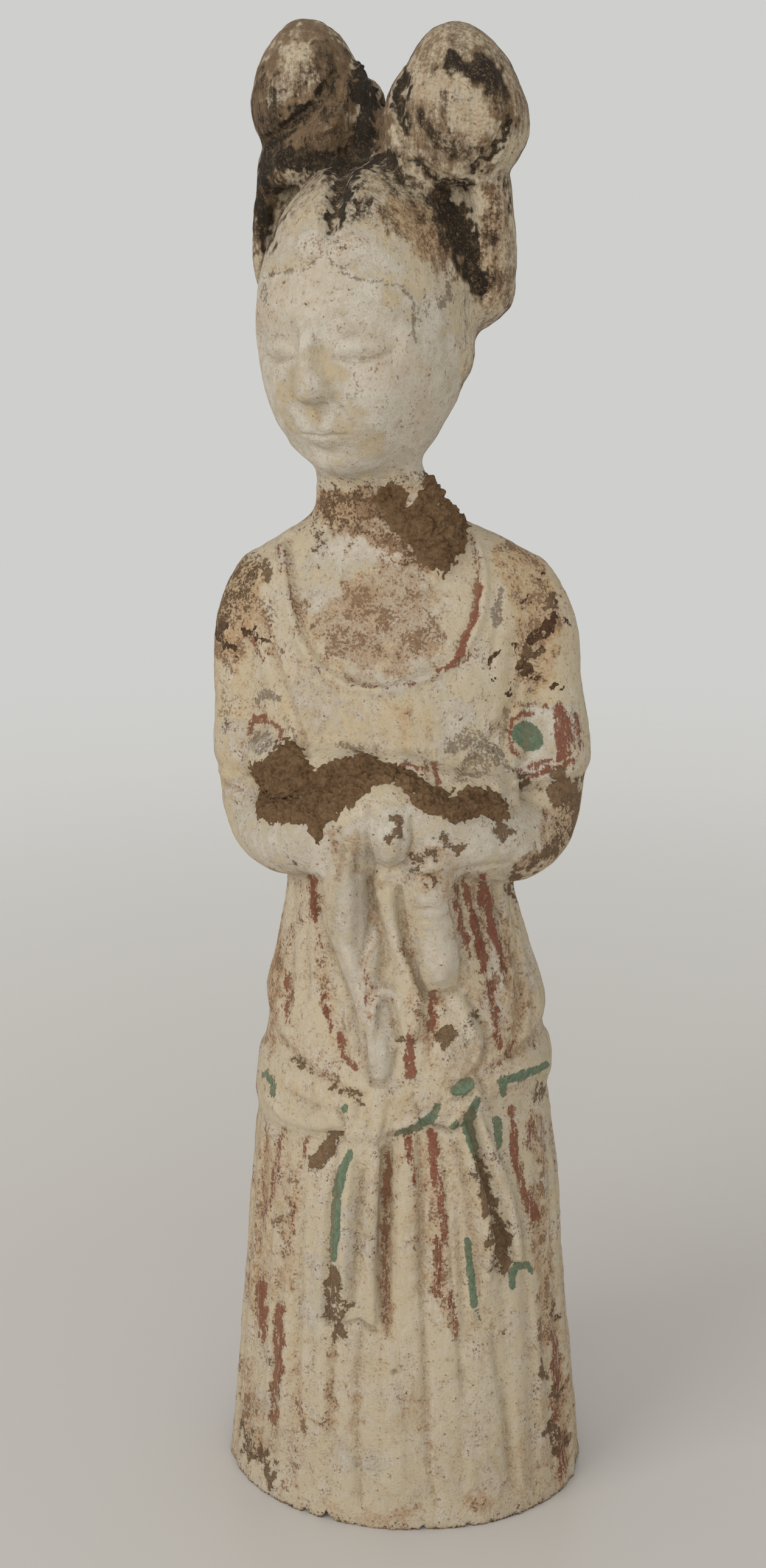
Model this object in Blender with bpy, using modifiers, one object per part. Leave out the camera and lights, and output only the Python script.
"""Fired clay tomb figure of a standing court lady with two egg-shaped hair buns.

The figure is one piece of clay: a pleated skirt, a bloused overskirt tied with a sash, arms folded
under long sleeves, a head turned to the figure's right and two coiled buns with hanging locks.
+Z is up, the figure faces -Y, and the origin is the middle of its flat underside.
"""

import math

import bmesh
import bpy
import numpy as np
from mathutils import Euler, Matrix, Vector, noise
from mathutils.bvhtree import BVHTree

FIGURE_HEIGHT = 0.363  # underside to the top of the buns
CLAY_COLOUR = (0.62, 0.53, 0.40, 1.0)
CLAY_ROUGHNESS = 0.85

# Every size below is in 363rds of the figure's height.
SCULPT_VOXEL = 1.2
SMOOTH_PASSES = 7
FIRED_TRIANGLES = 10300

# Body: height, middle across, middle in depth, half width, reach in front, reach behind.
BODY_STATIONS = [
    (-6.0, 0.3, 0.0, 46.8, 37.0, 36.0),
    (0.0, 0.3, 0.0, 46.4, 36.6, 35.5),
    (16.0, 0.3, 0.0, 45.0, 35.8, 34.4),
    (34.0, 0.2, 0.0, 43.4, 35.0, 33.0),
    (56.0, 0.0, 0.0, 41.2, 33.8, 31.2),
    (76.0, 0.0, 0.0, 39.8, 33.0, 29.8),
    (96.0, 0.0, 0.0, 37.8, 32.2, 28.6),
    (108.0, 0.0, 0.0, 36.2, 31.6, 27.8),
    (122.0, 0.2, 0.0, 35.0, 31.4, 27.2),
    (136.0, 0.0, 0.0, 33.0, 30.0, 26.2),
    (148.0, -0.8, 0.0, 30.4, 27.4, 24.8),
    (158.0, -1.2, 0.0, 28.2, 25.4, 23.4),
    (172.0, -1.4, 0.0, 29.0, 24.6, 22.4),
    (190.0, -1.8, 0.0, 33.0, 25.0, 22.6),
    (206.0, -2.4, 0.5, 36.0, 24.4, 22.6),
    (220.0, -2.8, 1.2, 38.0, 21.8, 21.4),
    (229.0, -3.2, 1.8, 39.0, 19.0, 18.8),
    (236.0, -3.4, 2.0, 37.2, 16.4, 16.2),
    (241.0, -3.6, 1.8, 32.0, 14.6, 14.6),
    (245.5, -4.4, 1.2, 24.0, 13.4, 13.8),
    (250.0, -6.6, 0.2, 16.0, 12.4, 13.0),
    (256.0, -8.6, -0.8, 12.8, 11.8, 12.4),
    (274.0, -9.6, -1.0, 12.4, 11.6, 12.4),
]
BODY_SIDES = 96
BODY_STEP = 2.0

# Arms: place across, in depth and in height, with the radius there. The left arm is the figure's own.
LEFT_ARM = [
    (27.0, 3.0, 231.0, 10.0),
    (30.6, 3.0, 222.0, 10.8),
    (31.6, 2.4, 210.0, 11.4),
    (33.2, 1.6, 197.0, 11.4),
    (33.0, 0.6, 184.0, 11.2),
    (31.0, -3.5, 174.6, 10.8),
    (26.6, -12.0, 172.6, 10.2),
    (19.0, -22.0, 175.6, 9.6),
    (10.0, -29.4, 180.4, 8.6),
    (1.0, -32.4, 184.0, 7.6),
]
RIGHT_ARM = [
    (-34.0, 3.0, 231.0, 10.0),
    (-36.6, 3.0, 222.0, 11.0),
    (-37.0, 2.4, 210.0, 11.2),
    (-36.6, 1.6, 197.0, 11.0),
    (-36.0, 0.6, 184.0, 11.0),
    (-33.6, -3.5, 175.4, 10.6),
    (-28.4, -12.0, 173.0, 10.2),
    (-20.4, -22.0, 175.4, 9.8),
    (-11.6, -29.4, 179.6, 8.8),
    (-2.6, -33.0, 184.6, 7.6),
]

# Head: an egg on a slim neck, turned and bowed a little about its own middle.
HEAD_MIDDLE = (-9.1, -6.0, 292.0)
HEAD_HALF = (24.8, 28.0, 37.4)
HEAD_TURN = math.radians(-20.0)
HEAD_BOW = math.radians(4.0)
JAW_TAPER = 0.13
NAPE_LIFT = 0.34
CROWN_MIDDLE = (0.0, 7.0, 9.0)
CROWN_HALF = (25.2, 26.6, 30.0)

# Hair, measured from the middle of the head: the buns, the coil that each one sits in and the lock
# that hangs behind each ear. Left is the figure's own.
BUN_TAPER = 0.17
LEFT_BUN_MIDDLE = (21.0, 11.0, 48.8)
LEFT_BUN_HALF = (14.4, 14.6, 17.4)
LEFT_BUN_LEAN = -0.12
RIGHT_BUN_MIDDLE = (-19.0, 12.0, 53.2)
RIGHT_BUN_HALF = (13.6, 14.0, 16.6)
RIGHT_BUN_LEAN = 0.02
LEFT_COIL = [
    (17.0, 24.0, 46.0, 3.4),
    (11.0, 20.6, 50.6, 3.8),
    (9.4, 13.0, 53.6, 4.2),
    (8.8, 5.4, 49.4, 4.2),
    (9.8, 2.6, 42.0, 4.2),
    (13.6, 1.8, 36.6, 4.2),
    (19.8, 3.2, 34.4, 4.0),
    (25.4, 8.0, 36.4, 4.0),
    (28.6, 14.0, 40.6, 4.4),
    (29.6, 19.0, 46.6, 4.0),
]
RIGHT_COIL = [
    (-13.0, 24.0, 44.0, 3.6),
    (-7.0, 20.0, 48.6, 4.0),
    (-6.0, 14.0, 52.0, 4.4),
    (-6.8, 6.0, 50.0, 4.6),
    (-9.4, 2.4, 43.6, 4.6),
    (-15.0, 2.0, 38.6, 4.6),
    (-21.6, 3.4, 35.8, 4.4),
    (-27.0, 8.0, 36.0, 4.4),
    (-29.0, 14.0, 40.0, 4.2),
    (-28.6, 20.0, 46.0, 3.8),
]
LEFT_LOCK = [
    (25.0, 12.0, 36.0, 4.6),
    (27.0, 13.0, 28.0, 4.2),
    (27.6, 13.6, 14.0, 4.2),
    (26.8, 14.0, 6.4, 4.2),
    (22.6, 14.0, 3.0, 4.2),
]
RIGHT_LOCK = [
    (-26.0, 12.0, 38.0, 4.8),
    (-29.4, 13.0, 28.0, 4.6),
    (-31.0, 13.6, 17.0, 4.6),
    (-29.0, 14.0, 8.0, 4.6),
    (-23.4, 14.0, 3.0, 4.4),
]
LOCK_DEPTH = 1.8
HAIR_WEB_MIDDLE = (20.0, 15.0, 22.0)
HAIR_WEB_HALF = (8.4, 6.4, 19.0)
HAIR_BRIDGE_MIDDLE = (0.0, 12.0, 40.0)
HAIR_BRIDGE_HALF = (9.0, 9.0, 9.0)

# Face, on the head's own egg and measured from its middle. Each line of relief is a height, a softness
# and a path as place across, in depth, height and half width.
NOSE = [
    (0.0, -26.0, 7.0, 1.8),
    (0.0, -27.4, 0.0, 2.1),
    (0.0, -28.2, -7.0, 2.7),
    (0.0, -28.0, -11.4, 3.5),
]
NOSTRIL_MIDDLE = (2.9, -25.6, -12.0)
NOSTRIL_HALF = (2.3, 2.8, 2.1)
EAR_MIDDLE = (22.6, 5.0, -4.0)
EAR_HALF = (2.6, 4.6, 8.6)
FACE_RELIEF = [
    (-1.5, 3.0, [(4.6, -26.0, -1.6, 2.0), (10.6, -25.0, -2.4, 3.2), (17.0, -21.0, -2.2, 2.4)]),
    (0.9, 1.6, [(6.4, -26.0, -2.6, 0.6), (10.6, -24.0, -2.4, 1.7), (14.8, -21.6, -2.6, 0.6)]),
    (0.5, 1.8, [(4.0, -27.0, 5.4, 0.8), (10.0, -25.4, 7.6, 1.0), (17.6, -20.0, 5.2, 0.8)]),
    (1.3, 7.0, [(13.0, -21.0, -14.0, 3.0), (12.0, -20.0, -19.0, 3.0)]),
]
MOUTH_RELIEF = [
    (0.9, 3.6, [(-4.0, -24.0, -21.0, 2.0), (4.0, -24.0, -21.0, 2.0)]),
    (0.5, 1.4, [(-4.6, -24.0, -19.7, 0.4), (0.0, -26.0, -19.4, 0.9), (4.6, -24.0, -19.7, 0.4)]),
    (0.6, 1.6, [(-3.2, -24.0, -22.6, 0.4), (0.0, -25.0, -23.0, 1.0), (3.2, -24.0, -22.6, 0.4)]),
    (-0.7, 1.0, [(-6.2, -22.0, -20.8, 0.3), (0.0, -26.0, -21.2, 0.4), (6.2, -22.0, -20.8, 0.3)]),
    (-0.6, 2.4, [(-2.6, -22.0, -26.0, 0.8), (2.6, -22.0, -26.0, 0.8)]),
    (1.2, 5.0, [(-2.0, -20.0, -31.0, 2.4), (2.0, -20.0, -31.0, 2.4)]),
]
PARTING = (-1.9, 2.0, [(-1.4, 2.0, 39.0, 3.0), (-1.0, -6.0, 36.0, 2.6), (1.6, -15.8, 30.1, 1.8),
                       (3.2, -22.0, 21.0, 0.5)])

# Clasped hands, sleeve ends that hang from them and the mud that the burial left: rolls of clay, each
# as place across, in depth, height and radius.
HANDS_MIDDLE = (0.6, -33.2, 182.0)
HANDS_HALF = (6.6, 8.4, 10.2)
RIGHT_CUFF = [
    (-12.6, -31.6, 177.0, 6.8),
    (-12.2, -30.0, 170.0, 6.4),
    (-11.8, -27.4, 163.0, 6.2),
    (-11.2, -25.2, 156.0, 5.8),
    (-9.8, -24.8, 149.0, 5.2),
    (-7.2, -26.4, 142.0, 4.4),
    (-4.4, -28.2, 134.0, 4.2),
    (-2.6, -29.2, 127.0, 4.1),
    (-2.6, -29.4, 123.4, 3.9),
]
MIDDLE_FOLD = [
    (0.4, -30.0, 172.0, 5.0),
    (0.6, -27.0, 165.0, 4.6),
    (1.2, -25.2, 158.0, 4.2),
    (2.0, -24.6, 151.0, 3.8),
    (3.6, -25.6, 144.0, 3.4),
    (5.2, -27.0, 137.0, 3.0),
]
LEFT_CUFF = [
    (8.6, -31.6, 176.6, 6.2),
    (8.9, -30.0, 169.0, 6.2),
    (9.4, -27.2, 162.0, 6.2),
    (10.0, -25.0, 155.0, 6.4),
    (10.6, -24.4, 148.0, 6.6),
    (10.8, -24.8, 144.6, 6.0),
]
ARM_MUD = [
    (-33.0, -9.0, 190.0, 5.0),
    (-26.4, -15.6, 190.6, 7.2),
    (-18.0, -21.6, 189.4, 7.6),
    (-9.0, -25.4, 190.0, 6.6),
    (1.0, -27.0, 190.6, 5.8),
    (9.0, -26.4, 187.6, 5.8),
    (17.0, -22.0, 185.6, 6.2),
    (24.0, -15.0, 185.6, 5.2),
]
NECK_MUD = [
    (-1.4, -7.0, 262.0, 5.6),
    (0.6, -7.0, 256.0, 6.2),
    (5.4, -8.0, 249.6, 5.6),
    (9.0, -10.0, 243.0, 4.6),
    (8.4, -12.0, 236.0, 2.6),
]
MUD_LUMPS = 0.9  # how far the mud stands up and down
MUD_GRAIN = 5.0

# Garment: each line is a height, a softness and a path as degrees around the body from the front
# (more than 0 is to the figure's left), height and half width.
SASH = [(-180, 111, 5.6), (-120, 110.5, 6.0), (-90, 108.6, 7.0), (-71, 109.0, 7.4), (-54, 108.0, 7.4),
        (-40, 108.6, 7.0), (-25, 109.4, 6.0), (-10, 109.4, 6.0), (3, 110.4, 5.6), (22, 111.6, 5.2),
        (30, 113.6, 4.2), (40, 115.4, 3.8), (52, 116.2, 3.6), (66, 115.6, 4.0), (87, 114.0, 5.0),
        (120, 112.0, 5.6), (180, 111.0, 5.6)]
GARMENT_RELIEF = [
    (1.7, 1.4, SASH),
    (1.2, 1.6, [(-24, 109, 3.0), (-10, 111, 3.4), (10, 112, 3.2), (26, 112, 2.6), (36, 114, 2.0)]),
    (-1.0, 1.0, [(-26, 113.4, 0.4), (-16, 108, 0.8), (-8, 104, 0.5)]),
    (-0.9, 1.0, [(2, 113, 0.4), (12, 108.8, 0.7), (24, 107, 0.5)]),
    (1.9, 1.3, [(-13, 104, 4.4), (-15, 92, 4.6), (-16.4, 80, 4.8), (-17, 68, 5.0), (-16.6, 56, 4.6)]),
    (1.7, 1.6, [(29.4, 108, 1.8), (32.7, 94.7, 1.9), (36.6, 82.2, 2.0), (40.0, 71.0, 1.8)]),
    (1.7, 1.6, [(37.4, 111.3, 1.8), (43.3, 98.3, 2.2), (49.2, 83.4, 2.4), (54.4, 69.0, 2.0)]),
    (1.0, 2.0, [(41.0, 84.0, 2.0), (44.4, 76.0, 3.6), (47.0, 70.0, 3.6)]),
    (1.6, 1.3, [(-2.4, 163.0, 1.0), (-0.6, 157.7, 1.2), (2.6, 149.2, 1.4), (6.6, 142.2, 1.6),
                (9.6, 137.0, 1.6), (10.6, 130.8, 1.6), (7.0, 127.5, 1.2)]),
    (-2.0, 1.6, [(1.0, 103, 0.8), (-0.6, 92, 0.8), (-1.0, 76, 0.7), (-0.6, 54, 0.3)]),
    (1.1, 2.2, [(7.6, 101, 1.8), (8.0, 84, 2.0), (8.2, 66, 1.8)]),
    (0.9, 2.0, [(21.6, 103, 1.4), (24.0, 88, 1.6), (26.0, 66, 1.4), (27.0, 52, 0.8)]),
    (-1.3, 1.2, [(-6.4, 131, 0.5), (-4.4, 136, 0.7), (-1.8, 132, 0.8), (-1.4, 125, 0.5)]),
    (1.4, 3.6, [(26.0, 131, 2.0), (26.4, 123.4, 3.6)]),
    (-1.0, 1.2, [(39.3, 127.0, 0.4), (34.1, 121.4, 0.6), (28.0, 116.5, 0.5)]),
    (-1.2, 1.4, [(61.0, 163.0, 0.8), (70.0, 148.0, 1.0), (68.0, 134.0, 1.0), (57.0, 122.0, 0.6)]),
]
OVERSKIRT_EDGE = [(-180, 126), (-120, 127), (-90, 128), (-76, 127), (-60.6, 124.1), (-50.6, 120.4),
                  (-39.2, 117.3), (-30.6, 115.2), (-13.1, 114.8), (9.2, 115.6), (20.3, 116.6), (30.5, 118.0),
                  (46.9, 119.7), (64.2, 122.5), (75.8, 124.6), (90, 126), (120, 127), (180, 126)]
OVERSKIRT_SWELL = 1.4
OVERSKIRT_FADE = 17.0
OVERSKIRT_FOLDS = [-172, -155, -138, -121, -105, -91, -78, -66, -56, -47, 43, 52, 62, 73, 84, 97, 111, 127,
                   143, 160]
OVERSKIRT_FOLD_DEPTH = 0.9
SKIRT_PLEATS = [-168, -153, -140, -126, -114, -103, -93, -83.5, -74.5, -65.6, -57.4, -49.0, -41.0, -33.0,
                -24.4, -12.2, 14.8, 30.0, 47.8, 58.0, 67.6, 77.0, 86.0, 96.0, 106, 117, 130, 143, 159, 175]
PLEAT_WANDER = 1.6  # how far a groove strays, in degrees
PLEAT_DEPTH = 1.5
FRONT_PLEAT_SHARE = 0.75
PLEAT_TOP = 103.0
PLEAT_FADE = 12.0
NECKLINE = [(-28.2, 243.4), (-26.6, 233.8), (-23.7, 225.1), (-18.4, 217.0), (-11.0, 212.6),
            (-4.0, 211.6), (2.0, 213.0), (8.4, 215.6), (13.8, 219.6), (17.0, 225.4), (18.5, 233.1),
            (17.6, 239.0), (15.0, 246.0)]
NECKLINE_STEP = 0.9
NECKLINE_ROLL = 0.7
ARM_GROOVES = [
    (-0.9, 3.0, [(-68.0, 227.0, 0.4), (-63.0, 214.0, 0.8), (-58.0, 203.0, 0.6)]),
    (-0.9, 3.0, [(68.0, 222.0, 0.4), (62.0, 208.0, 0.8), (58.0, 199.0, 0.6)]),
]
SHORT_SLEEVE_END = 188.4
SHORT_SLEEVE_STEP = 1.0

PATH_STEP = 3.0  # spacing of a path's points on the garment
OUTSIDE = 200.0  # a distance from the axis that is clear of the figure


def smoothstep(low, high, value):
    t = np.clip((value - low) / (high - low), 0.0, 1.0)
    return t * t * (3.0 - 2.0 * t)


def along(stations, at):
    """Rows read from a smooth curve through the stations, whose first column is the place along it."""
    table = np.array(stations, float)
    place = table[:, 0]
    slope = np.gradient(table, place, axis=0)
    i = np.clip(np.searchsorted(place, at, side="right") - 1, 0, len(place) - 2)
    step = (place[i + 1] - place[i])[:, None]
    t = ((at - place[i])[:, None]) / step
    start = (1 + 2 * t) * (1 - t) ** 2 * table[i] + t * (1 - t) ** 2 * step * slope[i]
    end = t * t * (3 - 2 * t) * table[i + 1] + t * t * (t - 1) * step * slope[i + 1]
    return start + end


def loft_body(clay):
    """The skirt, trunk and neck: rings that are wider than deep, flatter behind than in front."""
    heights = np.arange(BODY_STATIONS[0][0], BODY_STATIONS[-1][0] + 0.1, BODY_STEP)
    rings = []
    for z, x, y, half, front, back in along(BODY_STATIONS, heights):
        ring = []
        for i in range(BODY_SIDES):
            a = 2 * math.pi * i / BODY_SIDES
            reach = front if math.sin(a) < 0 else back
            ring.append(clay.verts.new((x + half * math.cos(a), y + reach * math.sin(a), z)))
        rings.append(ring)
    for low, high in zip(rings, rings[1:]):
        for i in range(BODY_SIDES):
            j = (i + 1) % BODY_SIDES
            clay.faces.new((low[i], low[j], high[j], high[i]))
    clay.faces.new(reversed(rings[0]))
    clay.faces.new(rings[-1])


def lump(clay, middle, half, turn=Matrix.Identity(3)):
    """An egg of clay with its own half sizes, turned about its middle."""
    place = Matrix.Translation(middle) @ turn.to_4x4() @ Matrix.Diagonal((*half, 1.0))
    return bmesh.ops.create_icosphere(clay, subdivisions=3, radius=1.0, matrix=place)["verts"]


def limb(clay, stations, steps=30, squash=(1.0, 1.0, 1.0), turn=Matrix.Identity(3), origin=(0, 0, 0)):
    """A roll of clay through the stations: close lumps on a smooth line, each with its own radius."""
    numbered = [(i, *row) for i, row in enumerate(stations)]
    for row in along(numbered, np.linspace(0, len(stations) - 1, steps)):
        place = Vector(origin) + turn @ Vector(row[1:4])
        lump(clay, place, [row[4] * s for s in squash], turn)


def head_frame():
    return Euler((HEAD_BOW, 0.0, HEAD_TURN)).to_matrix()


def model_head(clay):
    """The head's egg: the jaw narrows downwards and the nape is lifted clear of the back."""
    turn = head_frame()
    for v in lump(clay, (0, 0, 0), (1, 1, 1)):
        x, y, z = v.co
        low = max(0.0, -z)
        x *= 1.0 - JAW_TAPER * low * low
        if y > 0:
            z *= 1.0 - NAPE_LIFT * y * (z < 0)
        shaped = Vector((x * HEAD_HALF[0], y * HEAD_HALF[1], z * HEAD_HALF[2]))
        v.co = Vector(HEAD_MIDDLE) + turn @ shaped
    middle = Vector(HEAD_MIDDLE)
    lump(clay, middle + turn @ Vector(CROWN_MIDDLE), CROWN_HALF, turn)
    limb(clay, NOSE, steps=12, turn=turn, origin=middle)
    for side in (1, -1):
        for (x, y, z), half in ((NOSTRIL_MIDDLE, NOSTRIL_HALF), (EAR_MIDDLE, EAR_HALF)):
            lump(clay, middle + turn @ Vector((side * x, y, z)), half, turn)


def model_hair(clay):
    """Both buns with their coils and hanging locks, and the clay that bridges the two."""
    turn, middle = head_frame(), Vector(HEAD_MIDDLE)
    left = (LEFT_BUN_MIDDLE, LEFT_BUN_HALF, LEFT_BUN_LEAN)
    right = (RIGHT_BUN_MIDDLE, RIGHT_BUN_HALF, RIGHT_BUN_LEAN)
    for place, half, lean in (left, right):
        for v in lump(clay, (0, 0, 0), (1, 1, 1)):
            across = 1.0 - BUN_TAPER * v.co.z
            x, y, z = v.co.x * across * half[0], v.co.y * across * half[1], v.co.z * half[2]
            v.co = middle + turn @ (Vector(place) + Vector((x + lean * z, y, z)))
    for stations in (LEFT_COIL, RIGHT_COIL):
        limb(clay, stations, turn=turn, origin=middle)
    for stations in (LEFT_LOCK, RIGHT_LOCK):
        limb(clay, stations, squash=(1.0, LOCK_DEPTH, 1.0), turn=turn, origin=middle)
    for side in (1, -1):
        x, y, z = HAIR_WEB_MIDDLE
        lump(clay, middle + turn @ Vector((side * x, y, z)), HAIR_WEB_HALF, turn)
    lump(clay, middle + turn @ Vector(HAIR_BRIDGE_MIDDLE), HAIR_BRIDGE_HALF, turn)


def surface_around(tree, around, height):
    """The point of the surface met from outside, at so many degrees around the body."""
    a = math.radians(around)
    outward = Vector((math.sin(a), -math.cos(a), 0.0))
    hit = tree.ray_cast(Vector((0, 0, height)) + outward * OUTSIDE, -outward)[0]
    return np.array(hit)


def garment_path(tree, stations):
    """A path on the body as closely spaced points with their half widths."""
    points, widths = [], []
    for (a0, z0, w0), (a1, z1, w1) in zip(stations, stations[1:]):
        across = math.radians(a1 - a0) * BODY_STATIONS[0][3]
        steps = max(1, int(math.hypot(across, z1 - z0) / PATH_STEP))
        for i in range(steps + 1):
            t = i / steps
            points.append(surface_around(tree, a0 + (a1 - a0) * t, z0 + (z1 - z0) * t))
            widths.append(w0 + (w1 - w0) * t)
    return points, widths


def head_path(tree, stations):
    """The same on the head, from places measured in the head's own frame."""
    turn, middle = head_frame(), Vector(HEAD_MIDDLE)
    points, widths = [], []
    for p0, p1 in zip(stations, stations[1:]):
        for i in range(5):
            row = [u + (v - u) * i / 4 for u, v in zip(p0, p1)]
            points.append(np.array(tree.find_nearest(middle + turn @ Vector(row[:3]))[0]))
            widths.append(row[3])
    return points, widths


def beyond_path(places, points, widths):
    """How far each place lies beyond the half width of a path through the points."""
    beyond = np.full(len(places), OUTSIDE)
    for a, b, wa, wb in zip(points, points[1:], widths, widths[1:]):
        span = b - a
        t = np.clip((places - a) @ span / max(span @ span, 1e-9), 0.0, 1.0)
        gap = np.linalg.norm(places - a - t[:, None] * span, axis=1) - (wa + (wb - wa) * t)
        beyond = np.minimum(beyond, gap)
    return beyond


def stroke(places, path, height, softness):
    """How far a tool's stroke along the path lifts each place: flat in its half width, soft beyond it."""
    points, widths = path
    return height * (1.0 - smoothstep(-0.5 * softness, softness, beyond_path(places, points, widths)))


def read_table(table, at):
    rows = np.array(table, float)
    return np.interp(at, rows[:, 0], rows[:, 1])


def folds(around, grooves):
    """A row of rounded folds: 0 in each groove and 1 on the back of the fold between two grooves."""
    marks = np.array(sorted(grooves), float)
    marks = np.concatenate(([marks[-1] - 360.0], marks, [marks[0] + 360.0]))
    i = np.clip(np.searchsorted(marks, around) - 1, 0, len(marks) - 2)
    t = (around - marks[i]) / (marks[i + 1] - marks[i])
    return (4.0 * t * (1.0 - t)) ** 0.6


def carve_garment(places, tree):
    """Heights of the garment's relief: overskirt, sash and its tails, sleeve ends, pleats and neckline."""
    x, y, z = places.T
    around = np.degrees(np.arctan2(x, -y))
    lift = np.zeros(len(places))
    edge = read_table(OVERSKIRT_EDGE, around)
    above = z - edge
    swell = smoothstep(-1.2, 1.2, above) * (1.0 - smoothstep(2.0, OVERSKIRT_FADE, above))
    lift += OVERSKIRT_SWELL * swell
    side = smoothstep(36.0, 50.0, np.abs(around))
    fold = smoothstep(0.0, 6.0, above) * (1.0 - smoothstep(158.0, 168.0, z)) * side
    lift += OVERSKIRT_FOLD_DEPTH * fold * (folds(around, OVERSKIRT_FOLDS) - 0.7)
    strays = np.array([noise.noise(Vector((a / 14.0, h / 34.0, 3.0))) for a, h in zip(around, z)])
    pleat = 1.0 - smoothstep(PLEAT_TOP - PLEAT_FADE, PLEAT_TOP, z)
    pleat *= FRONT_PLEAT_SHARE + (1.0 - FRONT_PLEAT_SHARE) * smoothstep(28.0, 50.0, np.abs(around))
    pleat *= 1.0 + 0.7 * strays
    lift += PLEAT_DEPTH * pleat * (folds(around + PLEAT_WANDER * strays, SKIRT_PLEATS) - 0.7)
    sleeve = smoothstep(-0.7, 0.7, z - SHORT_SLEEVE_END) * (1.0 - smoothstep(4.0, 16.0, z - SHORT_SLEEVE_END))
    lift += SHORT_SLEEVE_STEP * sleeve * smoothstep(58.0, 66.0, np.abs(around)) * (np.abs(x) > 26.0)
    for height, softness, stations in GARMENT_RELIEF:
        lift += stroke(places, garment_path(tree, stations), height, softness)
    arms = (z > 160.0) & (z < 236.0)
    for height, softness, stations in ARM_GROOVES:
        lift += arms * stroke(places, garment_path(tree, stations), height, softness)
    return lift + carve_neckline(places, tree)


def carve_neckline(places, tree):
    """The low round neck: the garment stands proud of the chest and rolls a little at its edge."""
    rows = np.array(NECKLINE)
    dense = [rows[0]]
    for a, b in zip(rows, rows[1:]):
        dense += [a + (b - a) * i / 4 for i in range(1, 5)]
    x, y, z = places.T
    inside = np.zeros(len(places), bool)
    loop = dense + [np.array((0.0, 290.0))]
    for (xa, za), (xb, zb) in zip(loop, loop[1:] + loop[:1]):
        crosses = (za > z) != (zb > z)
        inside ^= crosses & (x < (xb - xa) * (z - za) / (zb - za if zb != za else 1e-9) + xa)
    points = []
    for px, pz in dense:
        points.append(np.array(tree.ray_cast(Vector((px, -OUTSIDE, pz)), Vector((0, 1, 0)))[0]))
    gap = beyond_path(places, points, np.zeros(len(points)))
    front = y < 2.0
    chest = inside & front & (z > 205.0)
    signed = np.where(chest, gap, -gap)
    step = -NECKLINE_STEP * smoothstep(-0.8, 0.8, signed) * (1.0 - smoothstep(3.0, 16.0, signed))
    roll = NECKLINE_ROLL * np.exp(-(((signed + 1.4) / 1.6) ** 2))
    return (step + roll) * front * (z > 205.0)


def carve_head(places, tree):
    """Heights of the face's relief, alike on both sides of the nose, and of the parting."""
    lift = np.zeros(len(places))
    for height, softness, stations in FACE_RELIEF:
        for side in (1, -1):
            mirrored = [(side * x, y, z, width) for x, y, z, width in stations]
            lift += stroke(places, head_path(tree, mirrored), height, softness)
    for height, softness, stations in MOUTH_RELIEF + [PARTING]:
        lift += stroke(places, head_path(tree, stations), height, softness)
    return lift


def roughen_mud(places):
    """Lumps on the two beds of mud, as a height for each place."""
    lift = np.zeros(len(places))
    for rolls in (ARM_MUD, NECK_MUD):
        points = [np.array(row[:3]) for row in rolls]
        widths = [row[3] + 1.0 for row in rolls]
        bed = stroke(places, (points, widths), 1.0, 1.0)
        for i in np.nonzero(bed > 0.01)[0]:
            place = Vector(places[i]) / MUD_GRAIN
            lift[i] += MUD_LUMPS * bed[i] * (noise.noise(place) + 0.5 * noise.noise(place * 2))
    return lift


def build_clay():
    """The figure's rough clay in one skin, smoothed by hand and not carved yet."""
    clay = bmesh.new()
    loft_body(clay)
    for stations in (LEFT_ARM, RIGHT_ARM, LEFT_CUFF, MIDDLE_FOLD, RIGHT_CUFF, ARM_MUD, NECK_MUD):
        limb(clay, stations)
    lump(clay, HANDS_MIDDLE, HANDS_HALF)
    model_head(clay)
    model_hair(clay)
    mesh = bpy.data.meshes.new("rough_clay")
    clay.to_mesh(mesh)
    clay.free()
    return mesh


def settle(figure, name, kind, **settings):
    """Adds one modifier and makes it permanent."""
    modifier = figure.modifiers.new(name, kind)
    for key, value in settings.items():
        setattr(modifier, key, value)
    graph = bpy.context.evaluated_depsgraph_get()
    done = bpy.data.meshes.new_from_object(figure.evaluated_get(graph))
    figure.modifiers.clear()
    figure.data = done


def keep_skin(figure):
    """Drops any closed pocket inside the clay and keeps the outer skin."""
    clay = bmesh.new()
    clay.from_mesh(figure.data)
    clay.verts.ensure_lookup_table()
    reached = {max(clay.verts, key=lambda v: v.co.z)}
    edge = list(reached)
    while edge:
        v = edge.pop()
        for link in v.link_edges:
            other = link.other_vert(v)
            if other not in reached:
                reached.add(other)
                edge.append(other)
    bmesh.ops.delete(clay, geom=[v for v in clay.verts if v not in reached], context="VERTS")
    clay.to_mesh(figure.data)
    clay.free()


def carve(figure):
    """Moves every vertex along its normal by the relief that it carries."""
    mesh = figure.data
    places = np.empty(len(mesh.vertices) * 3)
    mesh.vertices.foreach_get("co", places)
    places = places.reshape(-1, 3)
    normals = np.array([v.normal for v in mesh.vertices])
    tree = BVHTree.FromPolygons([v.co for v in mesh.vertices], [p.vertices for p in mesh.polygons])
    on_head = smoothstep(250.0, 256.0, places[:, 2])
    lift = (1.0 - on_head) * carve_garment(places, tree) + on_head * carve_head(places, tree)
    lift += roughen_mud(places)
    places = places + normals * lift[:, None]
    mesh.vertices.foreach_set("co", places.ravel())
    mesh.update()


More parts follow.
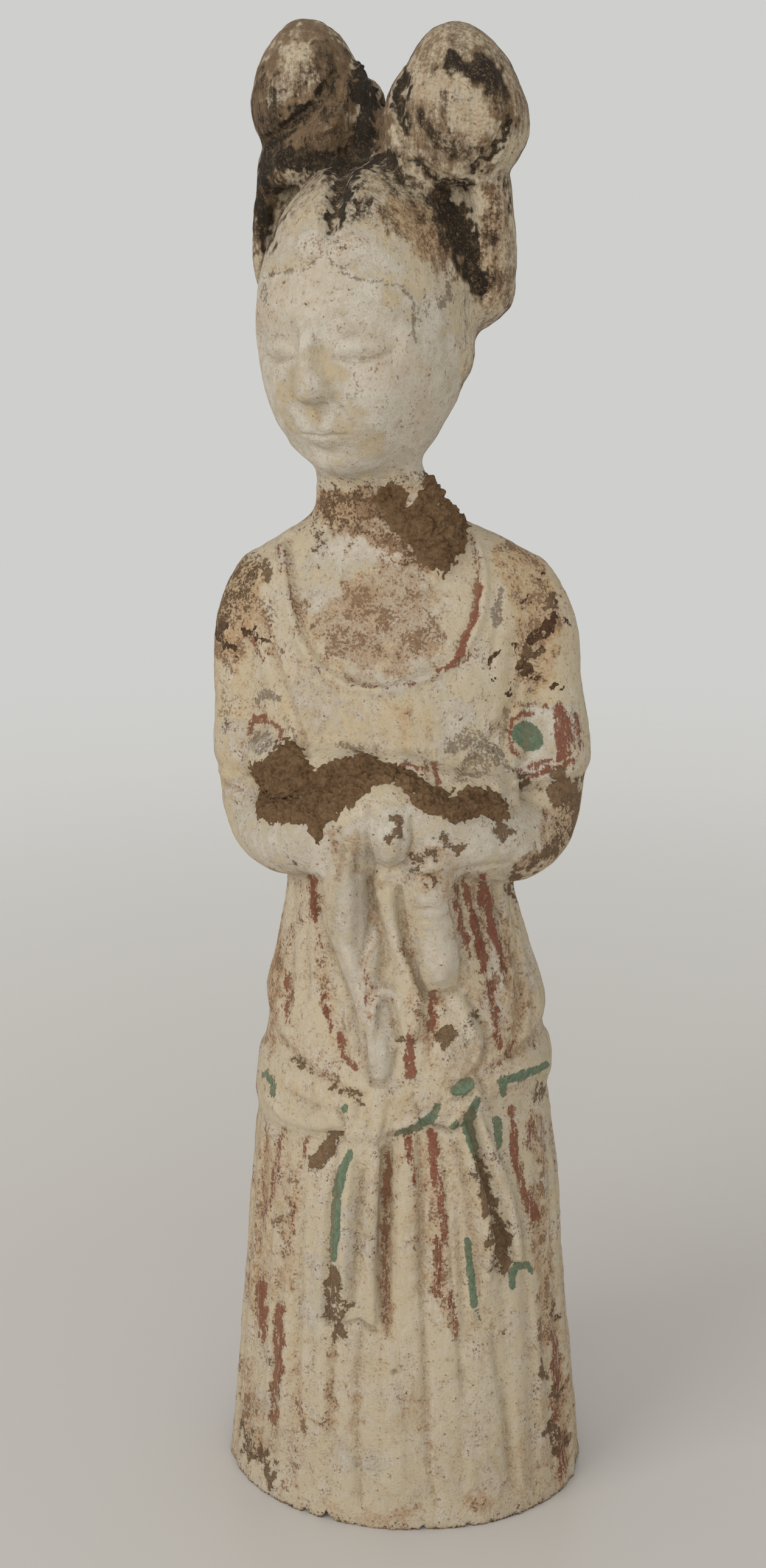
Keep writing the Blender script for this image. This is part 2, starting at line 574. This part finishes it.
def cut_underside(figure):
    """Cuts the foot off flat at height 0, closes it and brings the figure to its real size."""
    clay = bmesh.new()
    clay.from_mesh(figure.data)
    everything = clay.verts[:] + clay.edges[:] + clay.faces[:]
    bmesh.ops.bisect_plane(clay, geom=everything, plane_co=(0, 0, 0), plane_no=(0, 0, 1), clear_inner=True)
    rim = [e for e in clay.edges if e.is_boundary]
    bmesh.ops.edgeloop_fill(clay, edges=rim)
    bmesh.ops.triangulate(clay, faces=clay.faces[:])
    top = max(v.co.z for v in clay.verts)
    across = [v.co.x for v in clay.verts if v.co.z < 0.001]
    depth = [v.co.y for v in clay.verts if v.co.z < 0.001]
    middle = Vector(((min(across) + max(across)) / 2, (min(depth) + max(depth)) / 2, 0.0))
    for v in clay.verts:
        v.co = (v.co - middle) * FIGURE_HEIGHT / top
    bmesh.ops.recalc_face_normals(clay, faces=clay.faces[:])
    clay.to_mesh(figure.data)
    clay.free()


def painted_clay():
    """Fired clay under pale slip: matt, warm cream."""
    material = bpy.data.materials.new("painted_clay")
    material.use_nodes = True
    surface = material.node_tree.nodes["Principled BSDF"]
    surface.inputs["Base Color"].default_value = CLAY_COLOUR
    surface.inputs["Roughness"].default_value = CLAY_ROUGHNESS
    return material


def main():
    for obj in list(bpy.data.objects):
        bpy.data.objects.remove(obj)
    collection = bpy.data.collections.new("terracotta_figure")
    bpy.context.scene.collection.children.link(collection)
    figure = bpy.data.objects.new("figure", build_clay())
    collection.objects.link(figure)
    settle(figure, "one_skin", "REMESH", mode="VOXEL", voxel_size=SCULPT_VOXEL)
    keep_skin(figure)
    settle(figure, "hand_smoothed", "SMOOTH", factor=0.5, iterations=SMOOTH_PASSES)
    carve(figure)
    settle(figure, "tool_smoothed", "SMOOTH", factor=0.5, iterations=1)
    share = FIRED_TRIANGLES / (2 * len(figure.data.polygons))
    settle(figure, "dried", "DECIMATE", ratio=share)
    cut_underside(figure)
    figure.data.name = "figure"
    figure.data.materials.clear()
    figure.data.materials.append(painted_clay())


main()
